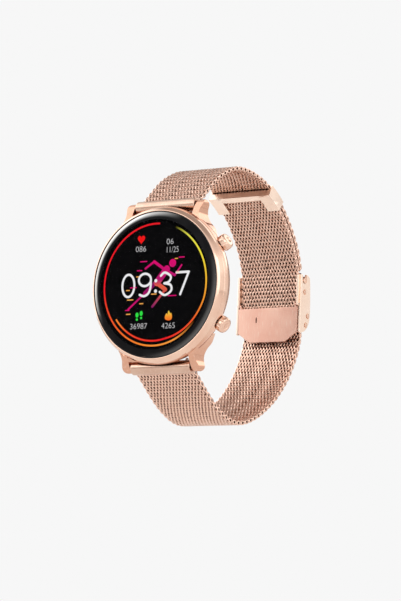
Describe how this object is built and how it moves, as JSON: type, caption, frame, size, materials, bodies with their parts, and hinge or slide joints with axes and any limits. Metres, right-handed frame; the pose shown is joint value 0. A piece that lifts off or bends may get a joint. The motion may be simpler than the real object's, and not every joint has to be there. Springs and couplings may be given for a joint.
{
  "type": "smartwatch",
  "caption": "Round smartwatch with a glass dial, push-buttons on one side and a woven metal band closed by a sliding fold-over clasp.",
  "frame": {"origin": "centre of the sensor window's outer face, which rests on the wrist", "axes": "+Y out of the case back towards the wrist (the dial faces -Y), +Z towards 12 o'clock, +X towards 3 o'clock and the push-buttons"},
  "size_m": [0.0448, 0.0673, 0.0743],
  "materials": {
    "cover_glass": "polished black glass with a lit dial under it",
    "sensor_glass": "dark glossy window",
    "rose_polished": "polished rose gold plating",
    "rose_satin": "satin rose gold plating",
    "rose_brushed": "straight brushed rose gold plating",
    "woven_band": "woven wire mesh, rose gold plating",
    "black_rubber": "matt",
    "black_plastic": "fine moulded texture",
    "display_panel": "display module",
    "circuit_board": "solder resist",
    "flex_film": "amber film",
    "battery_foil": "foil pouch",
    "green_led": "clear epoxy",
    "gold_contact": "gold plated",
    "steel": "bright stainless steel"
  },
  "bodies": {
    "case": {"back_gasket": "black_rubber", "back_screw_1": "steel", "back_screw_2": "steel", "back_screw_3": "steel", "back_screw_4": "steel", "battery": "battery_foil", "bezel_ring": "rose_polished", "board_shield": "steel", "case_back": "black_plastic", "charging_contact_a": "gold_contact", "charging_contact_b": "gold_contact", "charging_magnet_a": "steel", "charging_magnet_b": "steel", "cover_glass": "cover_glass", "display_flex": "flex_film", "glass_gasket": "black_rubber", "inner_tray": "black_plastic", "lower_pusher_seal": "black_rubber", "lower_pusher_sleeve": "steel", "lower_pusher_spring": "steel", "lower_tact_switch": "steel", "main_board": "circuit_board", "mid_case": "rose_polished", "photodiode": "black_plastic", "sensor_board": "circuit_board", "sensor_led_a": "green_led", "sensor_led_b": "green_led", "sensor_window": "sensor_glass", "touch_display": "display_panel", "upper_pusher_seal": "black_rubber", "upper_pusher_sleeve": "steel", "upper_pusher_spring": "steel", "upper_tact_switch": "steel", "vibration_motor": "steel"},
    "upper_button": {"upper_pusher": "rose_polished", "upper_pusher_clip": "steel"},
    "lower_button": {"lower_pusher": "rose_polished", "lower_pusher_clip": "steel"},
    "short_strap": {"upper_end_link": "rose_polished", "upper_spring_bar": "steel", "upper_bar_spring": "steel", "short_band": "woven_band", "hook_bar": "rose_polished"},
    "long_strap": {"lower_end_link": "rose_polished", "lower_spring_bar": "steel", "lower_bar_spring": "steel", "long_band": "woven_band", "tail_cap": "rose_polished", "clasp_body": "rose_satin", "cover_hinge_pin": "rose_polished", "cross_pin_a": "rose_polished", "cross_pin_b": "rose_polished", "lock_pivot_left": "steel", "lock_pivot_right": "steel"},
    "upper_release": {"upper_release_pin": "steel"},
    "lower_release": {"lower_release_pin": "steel"},
    "lock_lever": {"lock_plate": "rose_brushed"},
    "cover_flap": {"clasp_cover": "rose_brushed"}
  },
  "joints": [
    {"name": "long_strap_hinge", "type": "hinge", "parent": "case", "child": "long_strap", "pos_m": [0, -0.0055, -0.0227], "axis": [1, 0, 0], "range_deg": [-70, 0]},
    {"name": "short_strap_hinge", "type": "hinge", "parent": "case", "child": "short_strap", "pos_m": [0, -0.0055, 0.0227], "axis": [1, 0, 0], "range_deg": [0, 70]},
    {"name": "upper_pusher_press", "type": "slide", "parent": "case", "child": "upper_button", "axis": [-0.866, 0, -0.5], "range_m": [0, 0.0005], "stiffness_N_per_m": 200, "springref_m": -0.003},
    {"name": "lower_pusher_press", "type": "slide", "parent": "case", "child": "lower_button", "axis": [-0.866, 0, 0.5], "range_m": [0, 0.0005], "stiffness_N_per_m": 200, "springref_m": -0.003},
    {"name": "upper_release_slide", "type": "slide", "parent": "short_strap", "child": "upper_release", "axis": [-1, 0, 0], "range_m": [0, 0.0013], "stiffness_N_per_m": 200, "springref_m": -0.003},
    {"name": "lower_release_slide", "type": "slide", "parent": "long_strap", "child": "lower_release", "axis": [-1, 0, 0], "range_m": [0, 0.0013], "stiffness_N_per_m": 200, "springref_m": -0.003},
    {"name": "lock_plate_hinge", "type": "hinge", "parent": "long_strap", "child": "lock_lever", "pos_m": [0, 0.0493, 0.00135], "axis": [1, 0, 0], "range_deg": [-75, 0]},
    {"name": "clasp_cover_hinge", "type": "hinge", "parent": "long_strap", "child": "cover_flap", "pos_m": [0, 0.0525, -0.0047], "axis": [1, 0, 0], "range_deg": [-100, 0]}
  ],
  "couplings": [
    {"joint": "short_strap_hinge", "follows": "long_strap_hinge", "ratio": -1}
  ]
}
